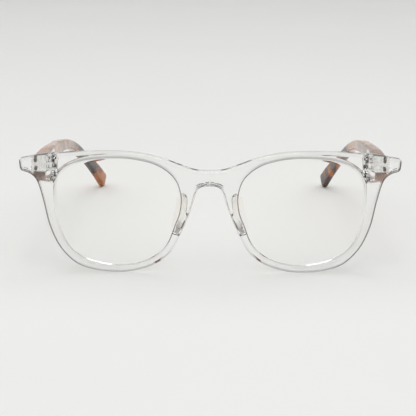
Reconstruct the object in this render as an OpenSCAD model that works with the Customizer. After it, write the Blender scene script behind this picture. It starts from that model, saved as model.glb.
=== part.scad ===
// Full-rim glasses with blue-filter lenses: a crystal-clear acetate front and
// tortoiseshell acetate temples on five-barrel hinges.
// Millimetres, +Z up. The glasses stand open on the lower edges of the rims and on
// the temple ends, at z = 0. The front faces -Y, the temples run back along +Y, and
// +X is the wearer's left. Every part is drawn for the left and mirrored to the right.

/* [Front] */
// Width of the front over its two end pieces
front_width = 143.8; // [143:0.2:144.4]
// Thickness of the acetate front
front_thick = 4.0; // [3.8:0.1:4.2]
// Radius to which the front is curved around the face
wrap_radius = 300; // [290:5:320]
// Distance from the bridge back to the flat rear face of the end pieces
butt_y = 12.6; // [12.4:0.1:12.8]

/* [Lenses] */
// Thickness of a lens
lens_thick = 2.0; // [1.6:0.1:2.2]
// Depth of the groove that holds a lens in its rim
groove_depth = 0.6; // [0.4:0.1:0.7]
// Width of the groove
groove_width = 0.9; // [0.6:0.1:1.2]

/* [Temples] */
// Distance from the centre plane to a temple's flat outer face
temple_x = 66.2; // [66:0.1:66.4]
// Thickness of a temple at its hinge
temple_thick = 4.4; // [4.3:0.1:4.5]
// Thickness of a temple at its end
tip_thick = 2.8; // [2.6:0.1:3.2]
// Distance from the bridge back to the centre of a temple's rounded end
tip_y = 138; // [137:0.2:139]
// Side of the square wire inside a temple
wire_side = 1.4; // [1.2:0.1:1.6]

/* [Hinges] */
// Radius of a hinge knuckle
knuckle_r = 1.5; // [1.4:0.05:1.55]
// Radius of the hinge screw
screw_r = 0.70; // [0.6:0.05:0.75]
// Clearance between the screw and the knuckles' bores
bore_clearance = 0.05; // [0.03:0.01:0.08]
// Height of the stack of five knuckles
stack_height = 5.8; // [5.6:0.1:5.9]

/* [Hidden] */

half_width = front_width / 2;
far = 200;             // longer than any part, for cutting and extruding
curve_steps = 5;       // straight steps between two points of a curve

// Front: [x, z] points of the outline's left half, over the top and back under.
top_edge = [
    [0, 40.0], [5.2, 40.3], [11.2, 42.3], [18, 44.8], [27, 46.5], [37, 46.8],
    [48, 46.3], [60, 44.8], [half_width, 42.7]
];
low_edge = [
    [half_width - 0.4, 38.0], [67.6, 36.9], [65.0, 34.1], [63.0, 27.0], [60.8, 17.0],
    [57.0, 8.8], [51.0, 2.9], [44.0, 0.6], [37.0, 0], [29.5, 0.6], [21.0, 3.5],
    [15.0, 8.2], [11.2, 14.9], [7.9, 22.4], [5.9, 28.0], [4.7, 32.3], [2.6, 33.8],
    [0, 34.1]
];
lens_edge = [
    [11.2, 24.0], [10.7, 30.2], [12.8, 36.7], [18.6, 41.5], [27, 43.8], [36, 44.2],
    [46.5, 43.0], [54.2, 39.9], [57.9, 34.8], [58.6, 27.5], [57.5, 18.8], [53.9, 10.0],
    [48.0, 5.2], [41.0, 3.2], [34.5, 2.8], [27.2, 3.8], [20.4, 6.9], [15.8, 12.0],
    [13.0, 19.0]
];
end_block_x = 57;      // the thicker end piece starts here
end_block_z = 33.6;    // and here above the rim's side
end_block_corner = 4;

// Hinge
hinge_x = 61.0;
hinge_y = butt_y + 1.75;
hinge_z = 40.4;
knuckle_count = 5;
knuckle_pitch = stack_height / knuckle_count;
knuckle_gap = 0.08;
plate_thick = 1.2;
// Outlines of the front hinge's leaf and of the pocket it lies in:
// low x, high x, height, radius of the corners at low x
leaf_outline = [61.2, 66.6, 5.6, 0.6];
pocket_outline = [59.2, 66.8, 5.8, 2.6];
temple_plate_thick = 1.3;
temple_plate_len = 11;     // to the centre of its round end
temple_plate_height = 4.6;
temple_plate_proud = 0.3;
rivet_r = 0.6;
front_rivet_depth = 2.6;
front_rivets_at = [[65.2, hinge_z - 1.6], [65.2, hinge_z + 1.6]];
temple_rivet_y = [hinge_y + 5, hinge_y + 12];
temple_rivet_len = 1.6;
head_r = 1.15;
head_height = 0.5;
slot_width = 0.3;

// Temple
temple_gap = 0.15;     // between the temple's end and the end piece
temple_front_y = butt_y + temple_gap;
inner_x = temple_x - temple_thick;
notch_depth = 1.2;     // pocket in the temple for the knuckles
notch_clearance = 0.3;
temple_plate_y = hinge_y + knuckle_r + notch_clearance;
// Spine of the temple seen from the side: [y, z, half of the temple's height]
spine = [
    [temple_front_y, 39.1, 4.8], [22, 39.1, 4.7], [31, 39.1, 4.0], [40, 39.0, 3.2],
    [53, 38.2, 2.5], [72, 35.2, 2.2], [88, 31.2, 2.1], [98, 27.6, 2.1],
    [108, 22.7, 2.1], [118, 17.2, 2.4], [128, 10.9, 3.1], [tip_y, 3.2, 3.6]
];
tip_bluntness = 0.6;   // depth of the rounded end against its half height
// Outer face seen from above: [x, y, thickness]; straight, then bent inwards
outer_bend = [
    [temple_x, 66, temple_thick], [66.0, 82, temple_thick - 0.4],
    [65.2, 97, temple_thick - 0.8], [62.0, 118, tip_thick + 0.2],
    [58.2, 136, tip_thick], [56.2, 145, tip_thick]
];

// Point on the curve from b to c, with a and d as its neighbours
function between(a, b, c, d, t) =
    (2*b + (c - a)*t + (2*a - 5*b + 4*c - d)*t*t + (3*b - a - 3*c + d)*t*t*t) / 2;
function closed_curve(p) = let (n = len(p)) [
    for (i = [0 : n - 1], k = [0 : curve_steps - 1])
        between(p[(i + n - 1) % n], p[i], p[(i + 1) % n], p[(i + 2) % n], k / curve_steps)
];
function open_curve(p) = let (n = len(p)) concat([
    for (i = [0 : n - 2], k = [0 : curve_steps - 1])
        between(i == 0 ? 2*p[0] - p[1] : p[i - 1], p[i], p[i + 1],
                i == n - 2 ? 2*p[n - 1] - p[n - 2] : p[i + 2], k / curve_steps)
], [p[n - 1]]);
function reversed(p) = [for (i = [len(p) - 1 : -1 : 0]) p[i]];
// Unit normal to the right of the way from a to b
function right_of(a, b) = let (v = b - a) [v[1], -v[0]] / norm(v);
// A closed outline moved sideways by d, to the right of its own direction
function shifted(p, d) = let (n = len(p)) [
    for (i = [0 : n - 1]) p[i] + d * right_of(p[(i + n - 1) % n], p[(i + 1) % n])
];
// The two edges of a band along a curve of [u, v, half width]
function band_edge(c, side) = let (n = len(c)) [
    for (i = [0 : n - 1])
        let (a = c[max(i - 1, 0)], b = c[min(i + 1, n - 1)])
            [c[i][0], c[i][1]] + side * c[i][2] * right_of([a[0], a[1]], [b[0], b[1]])
];

// The round end of a band, going from its right edge to its left
function band_end(c) = let (n = len(c), a = c[n - 2], b = c[n - 1],
                            side = right_of([a[0], a[1]], [b[0], b[1]])) [
    for (turn = [15 : 15 : 165])
        [b[0], b[1]] + b[2] * (cos(turn) * side
                               + tip_bluntness * sin(turn) * [-side[1], side[0]])
];
// The temple's outer face moved inwards by a share of its thickness and then by d
function inward(p, share, d) = [
    for (i = [0 : len(p) - 1])
        let (a = p[max(i - 1, 0)], b = p[min(i + 1, len(p) - 1)])
            [p[i][0], p[i][1]]
            - (share * p[i][2] + d) * right_of([a[0], a[1]], [b[0], b[1]])
];

lens_line = closed_curve(lens_edge);
spine_line = open_curve(spine);
wire_spine = [for (p = spine_line) [p[0], p[1], wire_side / 2]];
temple_side = concat(band_edge(spine_line, 1), band_end(spine_line),
                     reversed(band_edge(spine_line, -1)));
outer_face = concat([[temple_x, temple_front_y, temple_thick]], open_curve(outer_bend));
depth = max([for (p = temple_side) p[0]]);

// Everything is drawn from the bridge's front face, then moved to the middle of its depth
module placed(left)
    translate([0, -depth / 2, 0]) mirror([left ? 0 : 1, 0, 0]) children();

// Extrudes an [x, z] outline along +Y
module along_y(length = 30)
    translate([0, length, 0]) rotate([90, 0, 0]) linear_extrude(length) children();

// The space between two depths below the front's curved face
module wrapped_layer(from, to) difference() {
    translate([0, wrap_radius, -1])
        cylinder(r = wrap_radius - from, h = 60, $fn = 180);
    translate([0, wrap_radius, -2])
        cylinder(r = wrap_radius - to, h = 62, $fn = 180);
}

module half_front_outline()
    polygon(concat(open_curve(top_edge), open_curve(low_edge)));

// A lens-shaped outline grown outwards by d
module lens_outline(d) polygon(shifted(lens_line, -d));

module groove(d) intersection() {
    along_y() lens_outline(d);
    wrapped_layer((front_thick - groove_width) / 2, (front_thick + groove_width) / 2);
}

module rounded_plate(outline) let (low = outline[0], high = outline[1],
                                   height = outline[2], corner = outline[3])
intersection() {
    translate([low, -plate_thick, hinge_z - height / 2])
        cube([high - low, plate_thick, height]);
    union() {
        for (z = [-1, 1])
            translate([low + corner, 0, hinge_z + z * (height / 2 - corner)])
                rotate([90, 0, 0]) cylinder(r = corner, h = plate_thick, $fn = 48);
        translate([low, -plate_thick, hinge_z - height / 2 + corner])
            cube([corner, plate_thick, height - 2*corner]);
        translate([low + corner, -plate_thick, hinge_z - height / 2])
            cube([far, plate_thick, height]);
    }
}

module front_rivets() for (p = front_rivets_at)
    translate([p[0], butt_y, p[1]]) rotate([90, 0, 0])
        cylinder(r = rivet_r, h = plate_thick + front_rivet_depth, $fn = 32);

// The thicker part of the end piece, with its round corner towards the lens
module end_block_outline() translate([end_block_x, end_block_z]) {
    translate([end_block_corner, 0]) square(far);
    translate([0, end_block_corner]) square(far);
    translate([end_block_corner, end_block_corner])
        circle(r = end_block_corner, $fn = 64);
}

module half_front() difference() {
    intersection() {
        along_y() half_front_outline();
        union() {
            wrapped_layer(0, front_thick);
            intersection() {
                wrapped_layer(0, 3 * front_thick);
                along_y(butt_y) end_block_outline();
            }
        }
        translate([0, 0, -1]) cube([far, butt_y, far]);
    }
    along_y() lens_outline(0);
    groove(groove_depth);
    translate([0, butt_y, 0]) rounded_plate(pocket_outline);
    front_rivets();
}

module front_frame() color([0.93, 0.94, 0.94, 0.5]) placed(true) {
    half_front();
    mirror([1, 0, 0]) half_front();
}

module lens(left) color([0.80, 0.88, 0.97, 0.35]) placed(left) {
    intersection() {
        along_y() lens_outline(0);
        wrapped_layer((front_thick - lens_thick) / 2, (front_thick + lens_thick) / 2);
    }
    groove(groove_depth);
}

// Corners of the nose pad: [x, y, z, radius]
pad_corners = [
    [8.6, 4.9, 30.2, 1.3], [9.6, 5.2, 21.0, 1.4], [11.3, 5.2, 15.4, 1.4],
    [11.6, 8.8, 28.5, 1.2], [12.8, 9.9, 21.5, 1.3], [14.8, 9.6, 16.4, 1.2]
];
module nose_pad(left) color([0.95, 0.94, 0.90, 0.5]) placed(left) hull()
    for (c = pad_corners) translate([c[0], c[1], c[2]]) sphere(r = c[3], $fn = 24);

// One knuckle of the stack, counted from below, with its web to the given side
module knuckle(index, web_from, web_size) {
    low = hinge_z - stack_height / 2 + index * knuckle_pitch + knuckle_gap / 2;
    height = knuckle_pitch - knuckle_gap;
    translate([hinge_x, hinge_y, low]) cylinder(r = knuckle_r, h = height, $fn = 48);
    translate([web_from[0], web_from[1], low]) cube([web_size[0], web_size[1], height]);
}

module clear_bore()
    translate([hinge_x, hinge_y, hinge_z - stack_height / 2 + knuckle_pitch])
        cylinder(r = screw_r + bore_clearance, h = stack_height, $fn = 32);

// The lowest knuckle grips the screw, and the top one takes its head
module screw_seat() {
    clear_bore();
    translate([hinge_x, hinge_y, hinge_z - stack_height])
        cylinder(r = screw_r, h = stack_height, $fn = 32);
    translate([hinge_x, hinge_y, hinge_z + stack_height / 2 - head_height])
        cylinder(r = head_r, h = 2 * head_height, $fn = 32);
}

module front_hinge(left) color("silver") placed(left) difference() {
    union() {
        translate([0, butt_y, 0]) rounded_plate(leaf_outline);
        for (i = [0 : 2 : knuckle_count - 1])
            knuckle(i, [hinge_x - knuckle_r, butt_y], [2 * knuckle_r, hinge_y - butt_y]);
    }
    screw_seat();
    front_rivets();
}

module front_hinge_rivets(left) color("gainsboro") placed(left) front_rivets();

module hinge_screw(left) color("dimgray") placed(left) translate([hinge_x, hinge_y, 0])
difference() {
    union() {
        translate([0, 0, hinge_z - stack_height / 2])
            cylinder(r = screw_r, h = stack_height - head_height, $fn = 32);
        translate([0, 0, hinge_z + stack_height / 2 - head_height])
            cylinder(r = head_r, h = head_height, $fn = 32);
    }
    translate([-head_r - 1, -slot_width / 2, hinge_z + stack_height / 2 - head_height / 2])
        cube([2 * head_r + 2, slot_width, 1]);
}

module rivets_in_temple() for (y = temple_rivet_y)
    translate([inner_x - temple_plate_proud, y, hinge_z]) rotate([0, 90, 0])
        cylinder(r = rivet_r, h = temple_rivet_len, $fn = 32);

module temple_plate() {
    translate([inner_x - temple_plate_proud, temple_plate_y,
               hinge_z - temple_plate_height / 2])
        cube([temple_plate_thick, temple_plate_len, temple_plate_height]);
    translate([inner_x - temple_plate_proud, temple_plate_y + temple_plate_len, hinge_z])
        rotate([0, 90, 0])
            cylinder(r = temple_plate_height / 2, h = temple_plate_thick, $fn = 48);
}

module temple_hinge(left) color("silver") placed(left) difference() {
    union() {
        temple_plate();
        for (i = [1 : 2 : knuckle_count - 1])
            knuckle(i, [inner_x - temple_plate_proud, hinge_y],
                    [hinge_x + knuckle_r - inner_x + temple_plate_proud,
                     temple_plate_y - hinge_y + temple_plate_thick]);
    }
    clear_bore();
    rivets_in_temple();
}

module temple_rivets(left) color("gainsboro") placed(left) rivets_in_temple();

// Turns a [y, z] outline into a bar along X
module side_outline(points) rotate([90, 0, 90]) linear_extrude(far) polygon(points);

// A [y, z] outline cut to the layer between two lines seen from above
module bar(side, outer, inner) intersection() {
    side_outline(side);
    translate([0, 0, -1]) linear_extrude(60) polygon(concat(outer, reversed(inner)));
}

module core_wire() bar(
    concat(band_edge(wire_spine, 1), reversed(band_edge(wire_spine, -1))),
    inward(outer_face, 0.5, -wire_side / 2),
    inward(outer_face, 0.5, wire_side / 2)
);

module temple_core_wire(left) color("slategray") placed(left) core_wire();

module temple(left) color([0.55, 0.29, 0.16]) placed(left) difference() {
    bar(temple_side, inward(outer_face, 0, 0), inward(outer_face, 1, 0));
    translate([inner_x - 1, 0, hinge_z - stack_height / 2 - notch_clearance / 2])
        cube([1 + notch_depth, temple_plate_y, stack_height + notch_clearance]);
    temple_plate();
    rivets_in_temple();
    core_wire();
}

front_frame();
lens(true);  // lens_left
lens(false);  // lens_right
nose_pad(true);  // nose_pad_left
nose_pad(false);  // nose_pad_right
front_hinge(true);  // front_hinge_left
front_hinge(false);  // front_hinge_right
front_hinge_rivets(true);  // front_hinge_rivets_left
front_hinge_rivets(false);  // front_hinge_rivets_right
hinge_screw(true);  // hinge_screw_left
hinge_screw(false);  // hinge_screw_right
temple(true);  // temple_left
temple(false);  // temple_right
temple_hinge(true);  // temple_hinge_left
temple_hinge(false);  // temple_hinge_right
temple_rivets(true);  // temple_rivets_left
temple_rivets(false);  // temple_rivets_right
temple_core_wire(true);  // temple_core_wire_left
temple_core_wire(false);  // temple_core_wire_right
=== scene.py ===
"""Full-rim glasses: a crystal-clear acetate front with blue-filter lenses, tortoiseshell
acetate temples on five-barrel hinges. The frame is in metres; outlines here are in
millimetres from the bridge's front face and are moved into the frame by put()."""
import math

import bpy
import numpy as np
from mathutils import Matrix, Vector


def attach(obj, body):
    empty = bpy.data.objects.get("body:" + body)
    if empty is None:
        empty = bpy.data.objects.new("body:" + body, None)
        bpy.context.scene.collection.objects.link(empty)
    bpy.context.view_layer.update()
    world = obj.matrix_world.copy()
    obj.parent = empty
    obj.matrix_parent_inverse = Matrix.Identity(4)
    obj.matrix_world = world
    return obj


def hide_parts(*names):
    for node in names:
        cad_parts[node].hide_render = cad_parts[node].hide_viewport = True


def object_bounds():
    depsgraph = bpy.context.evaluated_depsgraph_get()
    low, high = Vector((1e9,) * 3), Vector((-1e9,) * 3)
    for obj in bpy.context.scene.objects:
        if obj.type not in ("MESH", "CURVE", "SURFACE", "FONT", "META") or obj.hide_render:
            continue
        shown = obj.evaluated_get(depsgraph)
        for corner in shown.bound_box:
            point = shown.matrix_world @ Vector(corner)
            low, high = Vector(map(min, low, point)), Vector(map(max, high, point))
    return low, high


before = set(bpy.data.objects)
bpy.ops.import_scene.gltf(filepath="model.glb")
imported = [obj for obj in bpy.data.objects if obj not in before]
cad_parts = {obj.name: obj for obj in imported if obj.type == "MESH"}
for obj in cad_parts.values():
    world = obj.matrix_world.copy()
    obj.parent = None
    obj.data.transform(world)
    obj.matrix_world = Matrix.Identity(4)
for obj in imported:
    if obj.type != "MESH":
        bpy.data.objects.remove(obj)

CAD_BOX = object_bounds()
MM = 0.001
FRONT_Y = CAD_BOX[0].y          # the bridge's front face
scene = bpy.context.scene

# ---------------------------------------------------------------- sizes, in millimetres
WRAP_RADIUS = 300.0
FRONT_THICK = 4.0
BUTT_Y = 12.6                   # rear face of the end pieces
BUTT_RECESS = 0.06              # it lies this far behind the hinge plates let into it
OUTER_ROUND = 1.3               # radius along the front's outer edge
RIM_ROUND = 0.9                 # and along its lens openings
CORNER_ROUND = 1.6              # radius of the end piece's two corners
CORNER_REACH = 1.9              # how far from a corner the outline's own points give way
LENS_THICK = 2.0
LENS_GAP = 0.03                 # between a lens and its opening
LENS_BEVEL = 0.15               # its ground edge is broken this far
BLOCK_X, BLOCK_Z, BLOCK_CORNER = 57.0, 33.6, 4.0    # where the thicker end piece begins
BLOCK_STEP = 3.0                # width of the rounded step up to the end piece
BLOCK_LEAD = 0.3                # the step starts this far outside it
POCKET_LOW_X, POCKET_HIGH_X = 59.2, 66.8            # pocket for the front hinge's leaf
POCKET_HEIGHT, POCKET_CORNER, POCKET_DEPTH = 5.8, 2.6, 1.22
TEMPLE_X = 66.2
TEMPLE_THICK = 4.4
TIP_THICK = 2.8
TIP_Y = 138.0
TIP_BLUNTNESS = 0.59            # length of the rounded tip against its half height
TIP_FLATTENING = 0.75           # how far the rounded tip draws in sideways
TEMPLE_FRONT_Y = 12.75
TEMPLE_ROUND = 1.1              # radius along its four edges
TEMPLE_BEVEL = 0.4              # broken edge of its front end
HINGE_Y = 14.35
HINGE_Z = 40.4
STACK_HEIGHT = 5.8
KNUCKLE_R = 1.5
NOTCH_DEPTH = 1.2               # of the temple's notch for the front leaf's knuckles
NOTCH_CLEARANCE = 0.3
PAD_HALF_THICK = 1.35
PAD_GAP = 0.03                  # between a pad and the rim's rear face
PAD_SQUARENESS = 2.6            # 2 would round its ends to half circles
PAD_END_REACH = 0.55            # its depth at the ends against the middle's

TOP_EDGE = [
    (0, 40.0), (5.2, 40.3), (11.2, 42.3), (18, 44.8), (27, 46.5), (37, 46.8),
    (48, 46.3), (60, 44.8), (71.9, 42.7),
]
LOW_EDGE = [
    (71.5, 38.0), (67.6, 36.9), (65.0, 34.1), (63.0, 27.0), (60.8, 17.0), (57.0, 8.8),
    (51.0, 2.9), (44.0, 0.6), (37.0, 0), (29.5, 0.6), (21.0, 3.5), (15.0, 8.2),
    (11.2, 14.9), (7.9, 22.4), (5.9, 28.0), (4.7, 32.3), (2.6, 33.8), (0, 34.1),
]
LENS_EDGE = [
    (11.2, 24.0), (10.7, 30.2), (12.8, 36.7), (18.6, 41.5), (27, 43.8), (36, 44.2),
    (46.5, 43.0), (54.2, 39.9), (57.9, 34.8), (58.6, 27.5), (57.5, 18.8), (53.9, 10.0),
    (48.0, 5.2), (41.0, 3.2), (34.5, 2.8), (27.2, 3.8), (20.4, 6.9), (15.8, 12.0),
    (13.0, 19.0),
]
LENS_CENTRE = np.array([34.5, 23.5])
# Temple seen from the side: y, z, half of its height
SPINE = [
    (TEMPLE_FRONT_Y, 39.1, 4.8), (22, 39.1, 4.7), (31, 39.1, 4.0), (40, 39.0, 3.2),
    (53, 38.2, 2.5), (72, 35.2, 2.2), (88, 31.2, 2.1), (98, 27.6, 2.1),
    (108, 22.7, 2.1), (118, 17.2, 2.4), (128, 10.9, 3.1), (TIP_Y, 3.2, 3.6),
]
# Temple's outer face seen from above: y, x, thickness
OUTER_BEND = [
    (66, TEMPLE_X, TEMPLE_THICK), (82, 66.0, TEMPLE_THICK - 0.4),
    (97, 65.2, TEMPLE_THICK - 0.8), (118, 62.0, TIP_THICK + 0.2),
    (136, 58.2, TIP_THICK), (145, 56.2, TIP_THICK),
]


# ------------------------------------------------------------------------------- curves
def curve(points, closed=False, steps=8):
    """A smooth line through the points, the same one that the CAD outlines follow."""
    p = np.array(points, float)
    if closed:
        p = np.vstack([p[-1], p, p[0], p[1]])
    else:
        p = np.vstack([2 * p[0] - p[1], p, 2 * p[-1] - p[-2]])
    t = (np.arange(steps) / steps)[:, None]
    parts = []
    for a, b, c, d in zip(p, p[1:], p[2:], p[3:]):
        parts.append((2 * b + (c - a) * t + (2 * a - 5 * b + 4 * c - d) * t ** 2
                      + (3 * b - a - 3 * c + d) * t ** 3) / 2)
    if not closed:
        parts.append(p[-2][None])
    return np.vstack(parts)


def along(line):
    """Distance from the line's start to each of its points."""
    return np.concatenate([[0], np.cumsum(np.linalg.norm(np.diff(line, axis=0), axis=1))])


def spaced(line, count):
    """The line as count evenly spaced points, its ends kept."""
    s = along(line)
    where = np.linspace(0, s[-1], count)
    return np.stack([np.interp(where, s, column) for column in line.T], axis=1)


def right_normals(line, closed=False):
    """Unit normals to the right of the line's direction."""
    if closed:
        v = np.roll(line, -1, axis=0) - np.roll(line, 1, axis=0)
    else:
        v = np.gradient(line, axis=0)
    v /= np.linalg.norm(v, axis=1)[:, None]
    return np.stack([v[:, 1], -v[:, 0]], axis=1)


def lens_line(count):
    """The lens opening's edge as evenly spaced points."""
    line = curve(LENS_EDGE, closed=True)
    return spaced(np.vstack([line, line[:1]]), count + 1)[:-1]


def smoothstep(t):
    """0 to 1 with level ends."""
    t = np.clip(t, 0, 1)
    return t * t * (3 - 2 * t)


def rounded_corner(before, corner, after, radius, steps=8):
    """Arc that replaces the corner between two straight edges."""
    a = (before - corner) / np.linalg.norm(before - corner)
    b = (after - corner) / np.linalg.norm(after - corner)
    half = math.acos(np.clip(a @ b, -1, 1)) / 2
    centre = corner + (a + b) / np.linalg.norm(a + b) * radius / math.sin(half)
    start = corner + a * radius / math.tan(half) - centre
    end = corner + b * radius / math.tan(half) - centre
    turn = math.acos(np.clip(start @ end / radius ** 2, -1, 1))
    t = np.linspace(0, 1, steps + 1)[:, None]
    return centre + (np.sin((1 - t) * turn) * start + np.sin(t * turn) * end) / math.sin(turn)


# ------------------------------------------------------------------------------- meshes
def put(points):
    """Millimetres from the bridge's front face to the frame's metres."""
    p = np.array(points, float) * MM
    p[:, 1] += FRONT_Y
    return p


def mesh_object(name, points, faces, smooth=True):
    """A new object from points in millimetres."""
    mesh = bpy.data.meshes.new(name)
    mesh.from_pydata([tuple(p) for p in put(points)], [], faces)
    mesh.update()
    obj = bpy.data.objects.new(name, mesh)
    scene.collection.objects.link(obj)
    mesh.polygons.foreach_set("use_smooth", [smooth] * len(mesh.polygons))
    return obj


def strip(rows, closed, flip=False):
    """Quads between rows of vertex numbers."""
    faces = []
    for a, b in zip(rows, rows[1:]):
        n = len(a)
        for i in range(n if closed else n - 1):
            j = (i + 1) % n
            quad = (a[i], a[j], b[j], b[i])
            faces.append(quad[::-1] if flip else quad)
    return faces


def mirrored(points):
    """The points on the other side of the centre plane."""
    p = np.array(points, float)
    p[:, 0] *= -1
    return p


# -------------------------------------------------------------------------------- front
def layer(x, depth):
    """Depth of the wrapped surface this far under the front's face."""
    return WRAP_RADIUS - np.sqrt((WRAP_RADIUS - depth) ** 2 - x ** 2)


def block_inside(x, z):
    """How far inside the thicker end piece's outline a point lies."""
    u, v = x - BLOCK_X, z - BLOCK_Z
    corner = BLOCK_CORNER - np.hypot(BLOCK_CORNER - u, BLOCK_CORNER - v)
    in_corner = (u < BLOCK_CORNER) & (v < BLOCK_CORNER)
    return np.where(in_corner, corner, np.minimum(u, v))


def rear(x, z):
    """Depth of the front's rear face, which steps back to the flat end pieces."""
    thin = np.minimum(layer(x, FRONT_THICK), BUTT_Y - BUTT_RECESS)
    share = smoothstep((block_inside(x, z) + BLOCK_LEAD) / BLOCK_STEP)
    return thin + (BUTT_Y - BUTT_RECESS - thin) * share


def outline():
    """Left half of the front's outline: over the top, round the end piece and back under."""
    top = curve(TOP_EDGE)
    low = curve(LOW_EDGE)
    upper = rounded_corner(top[-4], top[-1], low[0], CORNER_ROUND)
    lower = rounded_corner(top[-1], low[0], low[4], CORNER_ROUND)
    top = top[np.linalg.norm(top - top[-1], axis=1) > CORNER_REACH]
    low = low[np.linalg.norm(low - low[0], axis=1) > CORNER_REACH]
    return np.vstack([top, upper, lower, low])


def edge_columns(line, inward, radius, steps=5):
    """Columns of points round an edge, from the front face to the rear face."""
    front_side, rear_side = [], []
    for turn in np.linspace(math.pi / 2, 0, steps + 1):
        p = line + inward * radius * (1 - math.cos(turn))
        drop = radius * (1 - math.sin(turn))
        front_side.append(np.stack([p[:, 0], layer(p[:, 0], 0) + drop, p[:, 1]], axis=1))
        rear_side.append(np.stack([p[:, 0], rear(p[:, 0], p[:, 1]) - drop, p[:, 1]], axis=1))
    return front_side + rear_side[::-1]


def even_turns(loop, least=0.15, window=15):
    """Angles about the lens's centre, one for each of the loop's points, well spread."""
    angle = np.unwrap(np.arctan2(*(loop - LENS_CENTRE).T[::-1]))
    step = np.diff(np.append(angle, angle[0] - 2 * math.pi))
    step = np.minimum(step, -least * 2 * math.pi / len(loop))
    wrapped = np.concatenate([step[-(window // 2):], step, step[:window // 2]])
    step = np.convolve(wrapped, np.ones(window) / window, "valid")
    step *= -2 * math.pi / step.sum()
    turned = angle[0] + np.concatenate([[0], np.cumsum(step)[:-1]])
    return turned + (angle - turned).mean()


def at_angles(values, own, wanted):
    """Values along a closed line, given at its own angles and read at the wanted ones."""
    own = np.append(own, own[0] - 2 * math.pi)
    values = np.vstack([values, values[:1]])
    where = own[-1] + (wanted - own[-1]) % (2 * math.pi)
    return np.stack([np.interp(where, own[::-1], column[::-1]) for column in values.T], axis=1)


def rows_between(start, end, spans, steps=120):
    """Rows of points from one line to another, up to five times closer at the rounded step."""
    fine = np.linspace(0, 1, steps + 1)
    ways = start[:, None] + (end - start)[:, None] * fine[None, :, None]
    share = block_inside(ways[..., 0], ways[..., 1]) / BLOCK_STEP
    crowd = 1 + 4 * np.exp(-((share - 0.4) / 0.6) ** 2)
    grown = np.cumsum((crowd[:, 1:] + crowd[:, :-1]) / 2, axis=1)
    grown = np.concatenate([np.zeros((len(start), 1)), grown], axis=1)
    grown /= grown[:, -1:]
    rows = []
    for k in range(1, spans):
        t = np.array([np.interp(k / spans, g, fine) for g in grown])
        rows.append(start + (end - start) * t[:, None])
    return rows


def lens_opening(turns):
    """Points of the lens opening and the directions out of it, at the given angles."""
    line = lens_line(720)
    away = -right_normals(line, closed=True)
    own = np.unwrap(np.arctan2(*(line - LENS_CENTRE).T[::-1]))
    hole = at_angles(line, own, turns)
    outwards = at_angles(away, own, turns)
    return hole, outwards / np.linalg.norm(outwards, axis=1)[:, None]


def half_front(edge_points=330, cut_points=9, spans=18):
    """Left half of the clear front as points and faces, open at the centre plane.

    Its two faces are meshed in rings, from the outer edge and the cut across the bridge
    inwards to the lens opening."""
    edge = spaced(outline(), edge_points)
    edge[0, 0] = edge[-1, 0] = 0
    inward = right_normals(edge)
    inward[0], inward[-1] = (0, -1), (0, 1)
    outer = edge_columns(edge, inward, OUTER_ROUND)
    flat_edge = edge + inward * OUTER_ROUND
    cut = np.linspace(flat_edge[-1], flat_edge[0], cut_points)[1:-1]
    loop = np.vstack([flat_edge, cut])
    hole, outwards = lens_opening(even_turns(loop))
    inner = edge_columns(hole, outwards, RIM_ROUND)
    rows = rows_between(loop, hole + outwards * RIM_ROUND, spans)

    points = []

    def add(p):
        first = sum(len(q) for q in points)
        points.append(p)
        return list(range(first, first + len(p)))

    outer_rows = [add(p) for p in outer]
    inner_rows = [add(p) for p in inner]
    faces = strip(outer_rows, closed=False)
    faces += strip(inner_rows, closed=True, flip=True)
    for face, side, flip in ((lambda x, z: layer(x, 0), 0, True), (rear, -1, False)):
        first = add(np.stack([cut[:, 0], face(cut[:, 0], cut[:, 1]), cut[:, 1]], axis=1))
        ring = [outer_rows[side] + first]
        for p in rows:
            ring.append(add(np.stack([p[:, 0], face(p[:, 0], p[:, 1]), p[:, 1]], axis=1)))
        ring.append(inner_rows[side])
        faces += strip(ring, closed=True, flip=flip)
    return np.vstack(points), faces


def joined_halves(points, faces):
    """The half and its mirror image, welded at the centre plane."""
    on_plane = np.abs(points[:, 0]) < 1e-6
    twin = np.zeros(len(points), int)
    twin[on_plane] = np.nonzero(on_plane)[0]
    twin[~on_plane] = len(points) + np.arange((~on_plane).sum())
    return (np.vstack([points, mirrored(points[~on_plane])]),
            faces + [tuple(int(twin[i]) for i in face[::-1]) for face in faces])


front = mesh_object("clear_front", *joined_halves(*half_front()))


# ------------------------------------------------------------------------------- lenses
def lens_points():
    """A curved lens inside its opening, as rings that close on the middle."""
    edge = lens_line(240)
    edge = edge + right_normals(edge, closed=True) * LENS_GAP
    near = (FRONT_THICK - LENS_THICK) / 2
    far = (FRONT_THICK + LENS_THICK) / 2
    centre = edge.mean(axis=0)
    rings = []
    for size in (0.0, 0.04, 0.15, 0.3, 0.5, 0.7, 0.85, 0.95):
        rings.append((size, 0.0, near))
    rings.append((1.0, LENS_BEVEL, near))
    rings.append((1.0, 0.0, near + LENS_BEVEL))
    points, rows = [], []
    for back in (False, True):
        for size, inset, depth in (rings[::-1] if back else rings):
            if back:
                depth = near + far - depth
            if size == 0.0:
                p = centre[None]
            else:
                p = centre + (edge - centre) * size
                p = p - (p - centre) / np.linalg.norm(p - centre, axis=1)[:, None] * inset
            rows.append(list(range(len(points), len(points) + len(p))))
            points += [(x, layer(x, depth), z) for x, z in p]
    faces = strip(rows[1:-1], closed=True)
    count = len(rows[1])
    for i in range(count):
        j = (i + 1) % count
        faces.append((rows[0][0], rows[1][j], rows[1][i]))
        faces.append((rows[-1][0], rows[-2][i], rows[-2][j]))
    return np.array(points), faces


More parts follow.
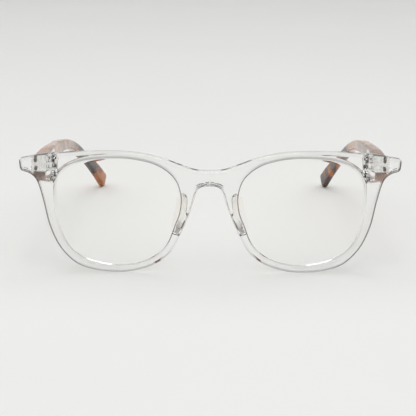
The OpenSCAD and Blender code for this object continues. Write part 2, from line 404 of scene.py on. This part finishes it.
def closed_loft(rings):
    """Points and faces of a closed body through rings of equal length."""
    count = len(rings[0])
    points = np.vstack([*rings, rings[0].mean(axis=0), rings[-1].mean(axis=0)])
    rows = [list(range(k * count, (k + 1) * count)) for k in range(len(rings))]
    faces = strip(rows, closed=True)
    first, last = len(points) - 2, len(points) - 1
    for i in range(count):
        j = (i + 1) % count
        faces.append((first, rows[0][j], rows[0][i]))
        faces.append((last, rows[-1][i], rows[-1][j]))
    return points, faces


def turned_out(points, faces):
    """The same faces, all looking outwards."""
    p = np.array(points)
    volume = 0.0
    for face in faces:
        for b, c in zip(face[1:], face[2:]):
            volume += np.dot(p[face[0]], np.cross(p[b], p[c]))
    return points, (faces if volume > 0 else [face[::-1] for face in faces])


def pair(name, points, faces):
    """A piece for the wearer's left and its mirror image for the right."""
    made = []
    for side, p in (("left", np.array(points)), ("right", mirrored(points))):
        made.append(mesh_object(f"{name}_{side}", *turned_out(p, faces)))
    return made


lenses = pair("filter_lens", *lens_points())


# ---------------------------------------------------------------------------- nose pads
def squarer(value, power=0.8):
    """Pushes a sine or cosine outwards, so that an ellipse becomes squarer."""
    return math.copysign(abs(value) ** power, value)


def pad_rings():
    """Wing of a nose pad from its upper to its lower end, standing on the rim's rear face."""
    near = curve([(9.0, 3.6, 31.4), (8.6, 3.6, 28.5), (9.6, 3.6, 21.5), (10.8, 3.6, 17.0),
                  (12.2, 3.6, 14.1)], steps=6)
    far = curve([(10.4, 7.4, 30.4), (11.7, 9.2, 27.6), (12.9, 10.6, 21.5), (14.3, 10.4, 17.4),
                 (15.0, 8.4, 14.6)], steps=6)
    rings = []
    for share, a, b in zip(np.linspace(-1, 1, len(near)), near, far):
        swell = math.sqrt(max(1 - abs(share) ** PAD_SQUARENESS, 0.0))
        way = b[:2] - a[:2]
        way /= np.linalg.norm(way)
        side = np.array([way[1], -way[0]])
        middle = (a + b) / 2
        reach = np.linalg.norm((b - a)[:2]) / 2
        reach *= PAD_END_REACH + (1 - PAD_END_REACH) * swell
        ring = []
        for turn in np.linspace(0, 2 * math.pi, 32, endpoint=False):
            x, y = (middle[:2] + way * squarer(math.cos(turn)) * reach
                    + side * squarer(math.sin(turn)) * PAD_HALF_THICK * swell)
            ring.append((x, max(y, float(layer(x, FRONT_THICK)) + PAD_GAP), middle[2]))
        rings.append(np.array(ring))
    return rings[1:-1]


pads = pair("clear_pad", *closed_loft(pad_rings()))


# ------------------------------------------------------------------------------ temples
def rounded_section(half_thick, half_high, radius, steps=5):
    """A rectangle as points (across, up), its corners rounded, with one point a side between."""
    section = []
    for k, (u, v) in enumerate(((1, 1), (-1, 1), (-1, -1), (1, -1))):
        for turn in np.linspace(k * math.pi / 2, (k + 1) * math.pi / 2, steps + 1):
            section.append((u * (half_thick - radius) + radius * math.cos(turn),
                            v * (half_high - radius) + radius * math.sin(turn)))
        if u * v > 0:
            section.append((0, v * half_high))
        else:
            section.append((u * half_thick, 0))
    return np.array(section)


def temple_stations(spine):
    """Places along a temple: y, z, half height, normal and how far the sides draw in."""
    right = right_normals(spine[:, :2])
    y, z, half = spine[0]
    stations = []
    for way, inset in ((0.0, 1.0), (0.3, 0.3), (1.0, 0.0)):
        inset *= TEMPLE_BEVEL
        stations.append((y + way * TEMPLE_BEVEL, z, half - inset, right[0], inset))
    for (y, z, half), normal in zip(spine[1:], right[1:]):
        stations.append((y, z, half, normal, 0.0))
    onward = np.array([-normal[1], normal[0]])
    for turn in np.linspace(0, math.pi / 2, 9)[1:]:
        tip = np.array([y, z]) + TIP_BLUNTNESS * half * math.sin(turn) * onward
        stations.append((*tip, max(half * math.cos(turn), 0.12), normal,
                         TIP_FLATTENING * (1 - math.cos(turn))))
    return stations


def temple_rings():
    """Sections of a temple from its front end to its rounded tip."""
    plan = curve(OUTER_BEND, steps=9)
    rings = []
    for y, z, half, normal, inset in temple_stations(curve(SPINE, steps=9)):
        thick = np.interp(y, plan[:, 0], plan[:, 2], left=TEMPLE_THICK)
        half_thick = thick / 2 - inset
        radius = min(TEMPLE_ROUND, half_thick * 0.95, half * 0.95)
        ring = []
        for across, up in rounded_section(half_thick, half, radius):
            py = y - normal[0] * up
            pz = z - normal[1] * up
            outer = np.interp(py, plan[:, 0], plan[:, 1], left=TEMPLE_X)
            own = np.interp(py, plan[:, 0], plan[:, 2], left=TEMPLE_THICK)
            ring.append((outer - own / 2 + across * own / thick, py, pz))
        rings.append(np.array(ring))
    return rings


def box_cutter(low, high):
    """A box between two opposite corners."""
    corners = [(x, y, z) for x in (low[0], high[0]) for y in (low[1], high[1])
               for z in (low[2], high[2])]
    faces = [(0, 1, 3, 2), (4, 6, 7, 5), (0, 4, 5, 1), (2, 3, 7, 6), (0, 2, 6, 4), (1, 5, 7, 3)]
    return mesh_object("cutter", corners, faces, smooth=False)


def cut_out(obj, cutter):
    """Takes the cutter's volume out of the piece for good."""
    modifier = obj.modifiers.new("cut", "BOOLEAN")
    modifier.operation = "DIFFERENCE"
    modifier.solver = "MANIFOLD"
    modifier.object = cutter
    deps = bpy.context.evaluated_depsgraph_get()
    mesh = bpy.data.meshes.new_from_object(obj.evaluated_get(deps))
    obj.modifiers.clear()
    obj.data = mesh
    bpy.data.objects.remove(cutter)


def pocket_cutter(sign):
    """The pocket for the front hinge's leaf: an upright slab with a round end."""
    middle = POCKET_LOW_X + POCKET_CORNER
    reach = POCKET_HEIGHT / 2
    ring = [(POCKET_HIGH_X, HINGE_Z - reach), (POCKET_HIGH_X, HINGE_Z + reach)]
    for turn in np.linspace(math.pi / 2, 3 * math.pi / 2, 25):
        ring.append((middle + POCKET_CORNER * math.cos(turn), HINGE_Z + reach * math.sin(turn)))
    loops = [np.array([(sign * x, y, z) for x, z in ring])
             for y in (BUTT_Y - POCKET_DEPTH, BUTT_Y + 1)]
    return mesh_object("cutter", *turned_out(*closed_loft(loops)), smooth=False)


for sign in (1, -1):
    cut_out(front, pocket_cutter(sign))

temples = pair("tortoise_temple", *closed_loft(temple_rings()))
notch_end = HINGE_Y + KNUCKLE_R + NOTCH_CLEARANCE
notch_reach = (STACK_HEIGHT + NOTCH_CLEARANCE) / 2
inner_x = TEMPLE_X - TEMPLE_THICK
for temple, sign in zip(temples, (1, -1)):
    low_x, high_x = sorted((sign * (inner_x - 1), sign * (inner_x + NOTCH_DEPTH)))
    cut_out(temple, box_cutter((low_x, 10, HINGE_Z - notch_reach),
                               (high_x, notch_end, HINGE_Z + notch_reach)))


# ---------------------------------------------------------------------------- materials
def new_material(name):
    """A material with its node tree's nodes, links and shader."""
    material = bpy.data.materials.new(name)
    material.use_nodes = True
    nodes, links = material.node_tree.nodes, material.node_tree.links
    shader = nodes["Principled BSDF"]
    return material, nodes, links, shader


def ramp(nodes, stops):
    """A colour ramp through (place, grey or colour) stops."""
    node = nodes.new("ShaderNodeValToRGB")
    while len(node.color_ramp.elements) < len(stops):
        node.color_ramp.elements.new(0.5)
    for element, (place, value) in zip(node.color_ramp.elements, stops):
        element.position = place
        element.color = (*value, 1) if isinstance(value, tuple) else (value, value, value, 1)
    return node


def maths(nodes, links, operation, a, b=None):
    """Result of one operation on numbers or sockets."""
    node = nodes.new("ShaderNodeMath")
    node.operation = operation
    for socket, value in zip(node.inputs, (a, b)):
        if isinstance(value, (int, float)):
            socket.default_value = value
        elif value is not None:
            links.new(value, socket)
    return node.outputs[0]


def mixed(nodes, links, a, b, blend="MULTIPLY", factor=1.0):
    """Two colours blended, the second over the first."""
    mix = nodes.new("ShaderNodeMix")
    mix.data_type = "RGBA"
    mix.blend_type = blend
    if isinstance(factor, float):
        mix.inputs["Factor"].default_value = factor
    else:
        links.new(factor, mix.inputs["Factor"])
    links.new(a, mix.inputs["A"])
    links.new(b, mix.inputs["B"])
    return mix.outputs["Result"]


def noise(nodes, links, scale, detail=2.0, distortion=0.0, stretch=None):
    """Noise over the piece's own coordinates, scale in cycles per metre."""
    place = nodes.new("ShaderNodeTexCoord").outputs["Object"]
    if stretch:
        mapping = nodes.new("ShaderNodeMapping")
        mapping.inputs["Scale"].default_value = stretch
        links.new(place, mapping.inputs["Vector"])
        place = mapping.outputs["Vector"]
    texture = nodes.new("ShaderNodeTexNoise")
    texture.inputs["Scale"].default_value = scale
    texture.inputs["Detail"].default_value = detail
    texture.inputs["Distortion"].default_value = distortion
    links.new(place, texture.inputs["Vector"])
    return texture


def painted_edge_shade(nodes, links, dark, outwards=0.92, downwards=0.40):
    """Painted shade: the base colour darkened along edges that turn outwards and downwards, seen
    at a grazing angle, in place of dark refractions there.
    """
    normal = nodes.new("ShaderNodeSeparateXYZ")
    links.new(nodes.new("ShaderNodeNewGeometry").outputs["Normal"], normal.inputs["Vector"])
    place = nodes.new("ShaderNodeSeparateXYZ")
    links.new(nodes.new("ShaderNodeTexCoord").outputs["Object"], place.inputs["Vector"])
    side = maths(nodes, links, "SIGN", place.outputs["X"])
    away = maths(nodes, links, "MULTIPLY", normal.outputs["X"], side)
    turned = maths(nodes, links, "SUBTRACT",
                   maths(nodes, links, "MULTIPLY", away, outwards),
                   maths(nodes, links, "MULTIPLY", normal.outputs["Z"], downwards))
    facing = ramp(nodes, [(0.38, 0.14), (0.62, 1.0)])
    links.new(turned, facing.inputs["Fac"])
    weight = nodes.new("ShaderNodeLayerWeight")
    weight.inputs["Blend"].default_value = 0.5
    grazing = ramp(nodes, [(0.12, 0.0), (0.34, 1.0)])
    links.new(weight.outputs["Facing"], grazing.inputs["Fac"])
    shade = ramp(nodes, [(0.0, (1.0, 1.0, 1.0)), (1.0, dark)])
    links.new(maths(nodes, links, "MULTIPLY", facing.outputs["Color"], grazing.outputs["Color"]),
              shade.inputs["Fac"])
    return shade.outputs["Color"]


def clear_material(name, tint, cloudy, ior, roughness, pass_on, wave=0.0, dark=None):
    """Polished clear plastic with faint clouding; lamps shine through it. Given dark, its edges
    get painted shade.
    """
    material, nodes, links, shader = new_material(name)
    cloud = ramp(nodes, [(0.38, cloudy), (0.62, tint)])
    links.new(noise(nodes, links, 120, 2).outputs["Fac"], cloud.inputs["Fac"])
    colour = cloud.outputs["Color"]
    # painted shade along outward and downward edges, darkest at the dark colour
    if dark:
        colour = mixed(nodes, links, colour, painted_edge_shade(nodes, links, dark))
    links.new(colour, shader.inputs["Base Color"])
    shader.inputs["Transmission Weight"].default_value = 1.0
    shader.inputs["IOR"].default_value = ior
    polish = ramp(nodes, [(0.35, roughness), (0.75, roughness * 2)])
    links.new(noise(nodes, links, 400, 4).outputs["Fac"], polish.inputs["Fac"])
    links.new(polish.outputs["Color"], shader.inputs["Roughness"])
    if wave:
        bump = nodes.new("ShaderNodeBump")
        bump.inputs["Strength"].default_value = wave
        bump.inputs["Distance"].default_value = 0.001
        links.new(noise(nodes, links, 90, 2).outputs["Fac"], bump.inputs["Height"])
        links.new(bump.outputs["Normal"], shader.inputs["Normal"])
    through = nodes.new("ShaderNodeBsdfTransparent")
    through.inputs["Color"].default_value = (*(pass_on * c for c in tint), 1)
    is_shadow = nodes.new("ShaderNodeLightPath").outputs["Is Shadow Ray"]
    mix = nodes.new("ShaderNodeMixShader")
    links.new(is_shadow, mix.inputs["Fac"])
    links.new(shader.outputs["BSDF"], mix.inputs[1])
    links.new(through.outputs["BSDF"], mix.inputs[2])
    links.new(mix.outputs["Shader"], nodes["Material Output"].inputs["Surface"])
    return material


def tortoise_material():
    """Amber acetate: pale near the hinge, with dark brown patches drifting in behind."""
    material, nodes, links, shader = new_material("tortoise_acetate")
    patches = noise(nodes, links, 75, 2, 0.8, (1, 0.7, 1)).outputs["Fac"]
    amber = ramp(nodes, [
        (0.38, (0.025, 0.008, 0.006)), (0.46, (0.10, 0.026, 0.012)),
        (0.51, (0.36, 0.095, 0.010)), (0.64, (0.58, 0.180, 0.016)),
    ])
    links.new(patches, amber.inputs["Fac"])
    blond = ramp(nodes, [
        (0.38, (0.38, 0.265, 0.215)), (0.48, (0.56, 0.370, 0.280)), (0.62, (0.72, 0.540, 0.450)),
    ])
    links.new(patches, blond.inputs["Fac"])
    place = nodes.new("ShaderNodeSeparateXYZ")
    links.new(nodes.new("ShaderNodeTexCoord").outputs["Object"], place.inputs["Vector"])
    drift = maths(nodes, links, "MULTIPLY", patches, 0.05)
    fade = nodes.new("ShaderNodeMapRange")
    fade.inputs["From Min"].default_value = -0.005
    fade.inputs["From Max"].default_value = 0.045
    links.new(maths(nodes, links, "ADD", place.outputs["Y"], drift), fade.inputs["Value"])
    colour = mixed(nodes, links, blond.outputs["Color"], amber.outputs["Color"], "MIX",
                   fade.outputs["Result"])
    fleck = ramp(nodes, [(0.42, 0.85), (0.62, 1.0)])
    links.new(noise(nodes, links, 620, 3, 0.4).outputs["Fac"], fleck.inputs["Fac"])
    links.new(mixed(nodes, links, colour, fleck.outputs["Color"]), shader.inputs["Base Color"])
    polish = ramp(nodes, [(0.3, 0.10), (0.75, 0.17)])
    links.new(noise(nodes, links, 300, 4).outputs["Fac"], polish.inputs["Fac"])
    links.new(polish.outputs["Color"], shader.inputs["Roughness"])
    shader.inputs["IOR"].default_value = 1.5
    shader.inputs["Specular IOR Level"].default_value = 0.35
    shader.inputs["Subsurface Weight"].default_value = 0.3
    shader.inputs["Subsurface Radius"].default_value = (1.0, 0.35, 0.12)
    shader.inputs["Subsurface Scale"].default_value = 0.0015
    shader.inputs["Coat Weight"].default_value = 0.1
    shader.inputs["Coat Roughness"].default_value = 0.06
    return material


def metal_material(name, colour, roughness):
    """Turned and tumbled metal: fine uneven polish and a little bump."""
    material, nodes, links, shader = new_material(name)
    tone = ramp(nodes, [(0.3, tuple(0.8 * c for c in colour)), (0.7, colour)])
    links.new(noise(nodes, links, 900, 3).outputs["Fac"], tone.inputs["Fac"])
    links.new(tone.outputs["Color"], shader.inputs["Base Color"])
    shader.inputs["Metallic"].default_value = 1.0
    polish = ramp(nodes, [(0.3, roughness), (0.7, roughness * 1.6)])
    texture = noise(nodes, links, 2500, 3)
    links.new(texture.outputs["Fac"], polish.inputs["Fac"])
    links.new(polish.outputs["Color"], shader.inputs["Roughness"])
    bump = nodes.new("ShaderNodeBump")
    bump.inputs["Strength"].default_value = 0.15
    bump.inputs["Distance"].default_value = 0.0001
    links.new(texture.outputs["Fac"], bump.inputs["Height"])
    links.new(bump.outputs["Normal"], shader.inputs["Normal"])
    return material


def dress(obj, material):
    """Gives the object this material only."""
    obj.data.materials.clear()
    obj.data.materials.append(material)


# dark is the colour of the painted shade along the front's outer and lower edges
acetate = clear_material("crystal_acetate", tint=(0.985, 0.985, 0.98),
                         cloudy=(0.970, 0.970, 0.965), ior=1.49, roughness=0.01,
                         pass_on=0.96, dark=(0.030, 0.020, 0.016))
pad_acetate = clear_material("pad_acetate", tint=(0.98, 0.98, 0.97),
                             cloudy=(0.955, 0.925, 0.870), ior=1.3, roughness=0.02,
                             pass_on=0.96, wave=0.15)
filter_glass = clear_material("filter_lens", tint=(0.998, 0.998, 0.992),
                              cloudy=(0.994, 0.994, 0.986), ior=1.2, roughness=0.005,
                              pass_on=0.98)
tortoise = tortoise_material()
hinge_metal = metal_material("hinge_metal", (0.97, 0.96, 0.94), 0.16)
rivet_metal = metal_material("rivet_metal", (0.22, 0.19, 0.17), 0.30)
screw_steel = metal_material("screw_steel", (0.35, 0.33, 0.31), 0.25)
wire_metal = metal_material("wire_metal", (0.50, 0.50, 0.50), 0.35)

dress(front, acetate)
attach(front, "front")
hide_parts("front_frame")
for side, lens, pad, temple in zip(("left", "right"), lenses, pads, temples):
    for piece, material, body, node, slot in (
        (lens, filter_glass, "front", "lens", "filter_lens"),
        (pad, pad_acetate, "front", "nose_pad", "pad_acetate"),
        (temple, tortoise, f"temple_{side}", "temple", "tortoise_acetate"),
    ):
        dress(piece, material)
        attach(piece, body)
        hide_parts(f"{node}_{side}")
    for node, material in (
        ("front_hinge", hinge_metal), ("temple_hinge", hinge_metal),
        ("front_hinge_rivets", rivet_metal), ("temple_rivets", rivet_metal),
        ("hinge_screw", screw_steel), ("temple_core_wire", wire_metal),
    ):
        dress(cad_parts[f"{node}_{side}"], material)


# ------------------------------------------------------------------------------- studio
def floor_sweep():
    """A seamless pale sheet that lies flat and rises far behind the glasses."""
    flat_end = 1.6
    bend = 1.2
    half_width = 4.0
    profile = [(-3.0, 0.0), (flat_end, 0.0)]
    for turn in np.linspace(0, math.pi / 2, 17)[1:]:
        profile.append((flat_end + bend * math.sin(turn), bend * (1 - math.cos(turn))))
    profile.append((flat_end + bend, 2.6))
    points, faces = [], []
    for y, z in profile:
        points += [(-half_width, y, z), (half_width, y, z)]
    for k in range(len(profile) - 1):
        faces.append((2 * k, 2 * k + 1, 2 * k + 3, 2 * k + 2))
    mesh = bpy.data.meshes.new("floor")
    mesh.from_pydata(points, [], faces)
    mesh.polygons.foreach_set("use_smooth", [True] * len(mesh.polygons))
    floor = bpy.data.objects.new("floor", mesh)
    scene.collection.objects.link(floor)
    material, nodes, links, shader = new_material("floor_paper")
    tone = ramp(nodes, [(0.3, (0.790, 0.790, 0.775)), (0.7, (0.805, 0.805, 0.790))])
    links.new(noise(nodes, links, 3, 2).outputs["Fac"], tone.inputs["Fac"])
    links.new(tone.outputs["Color"], shader.inputs["Base Color"])
    shader.inputs["Roughness"].default_value = 0.8
    shader.inputs["Specular IOR Level"].default_value = 0.2
    dress(floor, material)


def studio_world(level=0.78, overhead_level=1.24):
    """Soft light from above and behind, darker to both sides and in front."""
    world = bpy.data.worlds.new("studio")
    scene.world = world
    world.use_nodes = True
    nodes, links = world.node_tree.nodes, world.node_tree.links
    split = nodes.new("ShaderNodeSeparateXYZ")
    links.new(nodes.new("ShaderNodeTexCoord").outputs["Generated"], split.inputs["Vector"])

    sideways = maths(nodes, links, "ABSOLUTE", split.outputs["X"])
    dark_side = ramp(nodes, [(0.35, 1.0), (0.65, 0.06)])
    links.new(sideways, dark_side.inputs["Fac"])
    dark_front = ramp(nodes, [(0.25, 0.06), (0.50, 1.0)])
    backwards = maths(nodes, links, "MULTIPLY", split.outputs["Y"], 0.5)
    links.new(maths(nodes, links, "ADD", backwards, 0.5), dark_front.inputs["Fac"])
    around = maths(nodes, links, "MULTIPLY", dark_side.outputs["Color"],
                   dark_front.outputs["Color"])
    overhead = ramp(nodes, [(0.35, 0.0), (0.65, 1.0)])
    links.new(split.outputs["Z"], overhead.inputs["Fac"])
    value = maths(nodes, links, "MAXIMUM", maths(nodes, links, "MULTIPLY", around, level),
                  maths(nodes, links, "MULTIPLY", overhead.outputs["Color"], overhead_level))
    background = nodes["Background"]
    links.new(value, background.inputs["Color"])
    background.inputs["Strength"].default_value = 1.0


def softbox(name, place, target, size, power):
    """A rectangular lamp at a place, turned to its target."""
    light = bpy.data.lights.new(name, "AREA")
    light.shape = "RECTANGLE"
    light.size, light.size_y = size
    light.energy = power
    lamp = bpy.data.objects.new(name, light)
    scene.collection.objects.link(lamp)
    lamp.location = place
    away = np.array(place) - np.array(target)
    pitch = math.atan2(math.hypot(away[0], away[1]), away[2])
    turn = math.atan2(away[1], away[0]) + math.pi / 2
    lamp.rotation_euler = (pitch, 0, turn)


floor_sweep()
studio_world()
softbox("top_light", place=(0.0, -0.12, 1.1), target=(0, 0, 0), size=(0.5, 0.3), power=1.8)

# ------------------------------------------------------------------------------- camera
CAMERA_BACK = 0.3557            # from the bridge's front face
CAMERA_HEIGHT = 0.1237
CAMERA_PITCH = math.radians(15.33)
CAMERA_ORBIT = math.radians(0.76)
CAMERA_AIM = math.radians(0.086)
CAMERA_SENSOR = 36.0            # millimetres
CAMERA_LENS = 86.365

camera_data = bpy.data.cameras.new("camera")
camera_data.sensor_width = CAMERA_SENSOR
camera_data.lens = CAMERA_LENS
camera_data.clip_start = 0.01
camera_data.clip_end = 50
camera = bpy.data.objects.new("camera", camera_data)
scene.collection.objects.link(camera)
camera.location = (CAMERA_BACK * math.sin(CAMERA_ORBIT),
                   FRONT_Y - CAMERA_BACK * math.cos(CAMERA_ORBIT), CAMERA_HEIGHT)
camera.rotation_euler = (math.pi / 2 - CAMERA_PITCH, 0, CAMERA_ORBIT + CAMERA_AIM)
scene.camera = camera

scene.view_settings.view_transform = "Standard"
# light passes many clear faces in the front
scene.cycles.max_bounces = 24
scene.cycles.transmission_bounces = 20
scene.cycles.transparent_max_bounces = 24
